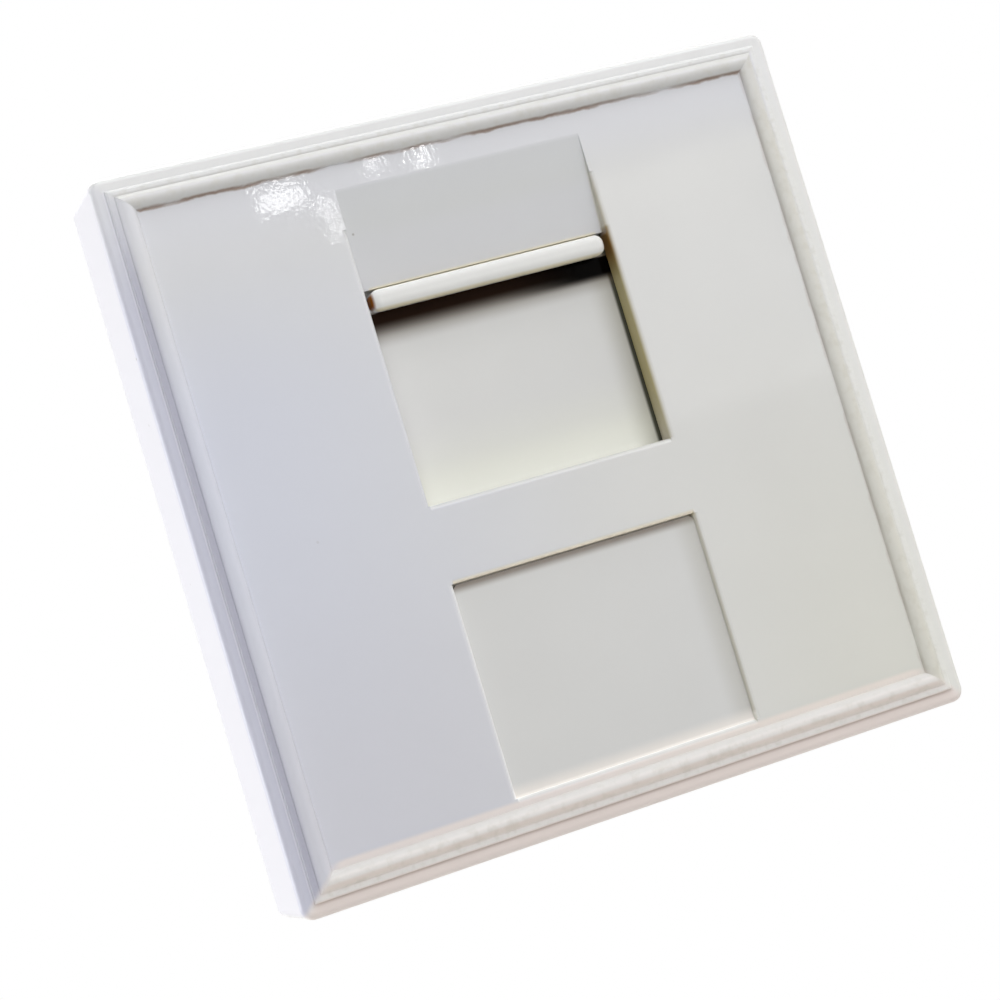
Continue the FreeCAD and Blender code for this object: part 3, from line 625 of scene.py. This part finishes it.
class SOCKET_OT_springs(bpy.types.Operator):
    """Wind the two return springs from round wire"""

    bl_idname = "socket.springs"
    bl_label = "Return springs"

    def execute(self, context):
        finish = context.scene.socket_finish
        # Drawn spring steel: grey, with fine streaks in its shine.
        steel = plated_metal("spring_steel_drawn", "#b4b4b6", "#8e8f93", 0.3, (2.0, 2.0, 6.0))
        for side in SIDES:
            solid = f"shutter_spring_{side}"
            low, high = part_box(solid)
            piece = self.coil(f"return_spring_{side}", low, high, finish.wire, finish.coils)
            piece.data.materials.append(steel)
            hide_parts(solid)
            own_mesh(piece)
        return {"FINISHED"}

    def coil(self, name, low, high, wire, turns):
        """A coil of round wire between two corners of a box, with its end turns closed."""
        middle = (Vector(low) + Vector(high)) / 2
        radius = (high[0] - low[0] - wire) / 2
        bottom, top = low[2] + wire / 2, high[2] - wire / 2
        closed = CLOSED_TURNS * wire
        mesh = bmesh.new()
        rings = []
        for step in range(int(turns * RINGS_PER_TURN) + 1):
            turn = step / RINGS_PER_TURN
            share = min(max((turn - CLOSED_TURNS) / (turns - 2 * CLOSED_TURNS), 0.0), 1.0)
            height = bottom + min(turn, CLOSED_TURNS) * wire + share * (top - bottom - 2 * closed)
            height += max(turn - (turns - CLOSED_TURNS), 0.0) * wire
            angle = 2 * math.pi * turn
            out = Vector((math.cos(angle), math.sin(angle), 0.0))
            centre = Vector((middle.x, middle.y, height)) + out * radius
            ring = []
            for side in range(WIRE_SIDES):
                around = 2 * math.pi * side / WIRE_SIDES
                offset = out * math.cos(around) + Vector((0.0, 0.0, 1.0)) * math.sin(around)
                ring.append(mesh.verts.new(centre + offset * wire / 2))
            rings.append(ring)
        close_tube(mesh, rings)
        return finished(name, mesh)


class SOCKET_OT_jack(bpy.types.Operator):
    """Finish the jack, its carrier and its contacts"""

    bl_idname = "socket.jack"
    bl_label = "Jack"

    def execute(self, context):
        finish = context.scene.socket_finish
        # Glass-filled nylon: matte black, with a grey bloom, and a lighter one for the carrier.
        dark = moulding("jack_nylon_moulded_black", finish.jack_tone, linear("#333436"), 0.42, 0.5 * MM,
                        MATTE_RIPPLE)[0]
        dress(dark, "jack_housing")
        grey = moulding("carrier_nylon_moulded_grey", linear("#3a3b3e"), linear("#484a4d"), 0.45, 0.5 * MM,
                        MATTE_RIPPLE)[0]
        dress(grey, "contact_carrier")
        # Thin gold over nickel: warm, with drawn streaks along each spring contact.
        gold = plated_metal("contact_gold_plated", "#e3bd5c", "#c99b3c", 0.22, (8.0, 0.6, 0.6))
        dress(gold, *[f"plug_contact_{i}" for i in range(1, 9)])
        return {"FINISHED"}


class SOCKET_OT_terminals(bpy.types.Operator):
    """Finish the board, the terminal blocks, the blades and the wire caps, and add the solder"""

    bl_idname = "socket.terminals"
    bl_label = "Terminals"

    def execute(self, context):
        finish = context.scene.socket_finish
        dress(board_laminate(), "circuit_board")
        # Unpolished polycarbonate: soft shine, a little cream.
        white = moulding("terminal_polycarbonate_moulded_white", linear("#e4e4de"), linear("#dcdcd5"), 0.4,
                         0.6 * MM, MATTE_RIPPLE)[0]
        dress(white, *[f"terminal_block_{side}" for side in SIDES])
        dress(cap_plastic(finish), *[f"wire_cap_{side}" for side in SIDES])
        # Tin over bronze strip: grey, with rolling streaks.
        tin = plated_metal("blade_bronze_tin_plated", "#c9c6bf", "#a8a59d", 0.3, (1.0, 0.5, 6.0))
        dress(tin, *[f"terminal_blade_{side}_{i}" for side in SIDES for i in range(1, 5)])
        joints = self.solder()
        joints.data.materials.append(tin)
        return {"FINISHED"}

    def solder(self):
        """Eight solder cones with the contact tails' ends, in two rows between the terminal blocks."""
        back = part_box("circuit_board")[1][1]
        middle = (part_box("jack_housing")[0][2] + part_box("jack_housing")[1][2]) / 2
        mesh = bmesh.new()
        for across in (-SOLDER_FROM_MIDDLE, SOLDER_FROM_MIDDLE):
            for row in range(SOLDER_ROWS):
                up = (row - (SOLDER_ROWS - 1) / 2) * SOLDER_PITCH
                spot = Vector((across, 0.0, up)) * MM + Vector((0.0, back, middle))
                rings = []
                for radius, height in SOLDER_PROFILE:
                    ring = []
                    for side in range(SOLDER_SIDES):
                        angle = 2 * math.pi * side / SOLDER_SIDES
                        offset = Vector((radius * math.cos(angle), height, radius * math.sin(angle)))
                        ring.append(mesh.verts.new(spot + offset * MM))
                    rings.append(ring)
                close_tube(mesh, rings)
        return finished("solder_joints", mesh)


class SOCKET_OT_stage(bpy.types.Operator):
    """Set the camera, the lamps, the white room and the floor"""

    bl_idname = "socket.stage"
    bl_label = "Stage"

    def execute(self, context):
        scene = context.scene
        stage = scene.socket_stage
        self.camera(scene, stage.lens)
        self.lamps(scene, stage.light)
        self.white_room(scene)
        self.floor(scene, stage.floor_drop)
        scene.view_settings.view_transform = "Standard"
        return {"FINISHED"}

    def camera(self, scene, lens):
        """The camera in front, to the left and a little below, rolled so that the plate leans."""
        camera = bpy.data.objects.new("camera", bpy.data.cameras.new("camera"))
        scene.collection.objects.link(camera)
        camera.data.sensor_width = SENSOR_WIDTH
        camera.data.lens = lens
        camera.data.clip_start = NEAR_CLIP
        turn = Euler([math.radians(angle) for angle in CAMERA_TURN])
        camera.matrix_world = Matrix.LocRotScale(Vector(CAMERA_PLACE) * MM, turn, None)
        scene.camera = camera

    def lamps(self, scene, light):
        """Square soft lamps, and small ones for the sparkle on the polished face."""
        for name, way, distance, width, tint, power in LAMPS:
            data = bpy.data.lights.new("lamp_" + name, "AREA")
            data.shape = "SQUARE"
            data.size = width
            data.energy = power * light
            data.color = linear(tint)[:3]
            lamp = bpy.data.objects.new("lamp_" + name, data)
            scene.collection.objects.link(lamp)
            lamp.location = Vector(way).normalized() * distance
            lamp.rotation_euler = Vector(way).to_track_quat("Z", "Y").to_euler()
            lamp.visible_camera = False

    def white_room(self, scene):
        """White behind the object and in its reflections; its light is dim in front and brighter behind."""
        world = bpy.data.worlds.new("white_room")
        world.use_nodes = True
        tree = world.node_tree
        tree.nodes.clear()
        coord = node(tree, "TexCoord")
        axes = node(tree, "SeparateXYZ", {0: coord.outputs["Generated"]})
        behind = node(tree, "MapRange", {0: axes.outputs[1], 1: -0.2, 2: 0.2})
        soft = node(tree, "Mix", {0: behind.outputs[0], 6: linear("#303030"), 7: linear("#aaaaaa")},
                    data_type="RGBA")
        glow = node(tree, "Background", {0: soft.outputs[2], 1: 1.0})
        white = node(tree, "Background", {0: linear("#ffffff"), 1: 1.0})
        self.seen_white(tree, glow.outputs[0], white.outputs[0], "OutputWorld")
        scene.world = world

    def seen_white(self, tree, lit, white, output, share=1.0):
        """Show white to the camera and to reflections, by a share, and the lit shader to all else."""
        path = node(tree, "LightPath")
        first = node(tree, "Math", {0: path.outputs["Is Camera Ray"], 1: path.outputs["Is Glossy Ray"]},
                     operation="ADD")
        seen = node(tree, "Math", {0: first.outputs[0], 1: path.outputs["Is Transmission Ray"]},
                    operation="ADD", use_clamp=True)
        part = node(tree, "Math", {0: seen.outputs[0], 1: share}, operation="MULTIPLY")
        mixed = node(tree, "MixShader", {0: part.outputs[0], 1: lit, 2: white})
        node(tree, output, {"Surface": mixed.outputs[0]})

    def floor(self, scene, drop):
        """A pale paper floor far below, which keeps the object's shadow and fades to white at its rim."""
        mesh = bpy.data.meshes.new("floor")
        disc = bmesh.new()
        bmesh.ops.create_circle(disc, cap_ends=True, segments=FLOOR_SEGMENTS, radius=FLOOR_RADIUS)
        disc.to_mesh(mesh)
        disc.free()
        floor = bpy.data.objects.new("floor", mesh)
        floor.location.z = -drop
        scene.collection.objects.link(floor)
        material = bpy.data.materials.new("floor_paper")
        material.use_nodes = True
        tree = material.node_tree
        tree.nodes.clear()
        coord = node(tree, "TexCoord")
        reach = node(tree, "VectorMath", {0: coord.outputs["Object"]}, operation="LENGTH")
        start, end = [FLOOR_RADIUS * share for share in FLOOR_FADE]
        rim = node(tree, "MapRange", {0: reach.outputs["Value"], 1: start, 2: end},
                   interpolation_type="SMOOTHSTEP")
        paper = node(tree, "BsdfDiffuse", {0: linear("#dededc")})
        white = node(tree, "Emission", {0: linear("#ffffff"), 1: 1.0})
        self.seen_white(tree, paper.outputs[0], white.outputs[0], "OutputMaterial", rim.outputs[0])
        mesh.materials.append(material)


class SOCKET_PT_panel(bpy.types.Panel):
    """Settings and buttons for the pieces and the stage"""

    bl_idname = "SOCKET_PT_panel"
    bl_label = "Data wall socket"
    bl_space_type = "VIEW_3D"
    bl_region_type = "UI"
    bl_category = "Socket"

    def draw(self, context):
        for group in (context.scene.socket_finish, context.scene.socket_stage):
            for name in type(group).__annotations__:
                self.layout.prop(group, name)
        for step in OPERATORS:
            self.layout.operator(step.bl_idname)


OPERATORS = (
    SOCKET_OT_front_cover,
    SOCKET_OT_shutter,
    SOCKET_OT_label_insert,
    SOCKET_OT_mounting_frame,
    SOCKET_OT_springs,
    SOCKET_OT_jack,
    SOCKET_OT_terminals,
    SOCKET_OT_stage,
)
CLASSES = (SocketFinish, SocketStage) + OPERATORS + (SOCKET_PT_panel,)


def register():
    for kind in CLASSES:
        bpy.utils.register_class(kind)
    bpy.types.Scene.socket_finish = bpy.props.PointerProperty(type=SocketFinish)
    bpy.types.Scene.socket_stage = bpy.props.PointerProperty(type=SocketStage)


def unregister():
    del bpy.types.Scene.socket_stage
    del bpy.types.Scene.socket_finish
    for kind in reversed(CLASSES):
        bpy.utils.unregister_class(kind)


def main():
    register()
    bpy.ops.socket.front_cover()
    bpy.ops.socket.shutter()
    bpy.ops.socket.label_insert()
    bpy.ops.socket.mounting_frame()
    bpy.ops.socket.springs()
    bpy.ops.socket.jack()
    bpy.ops.socket.terminals()
    bpy.ops.socket.stage()


if __name__ == "__main__":
    main()
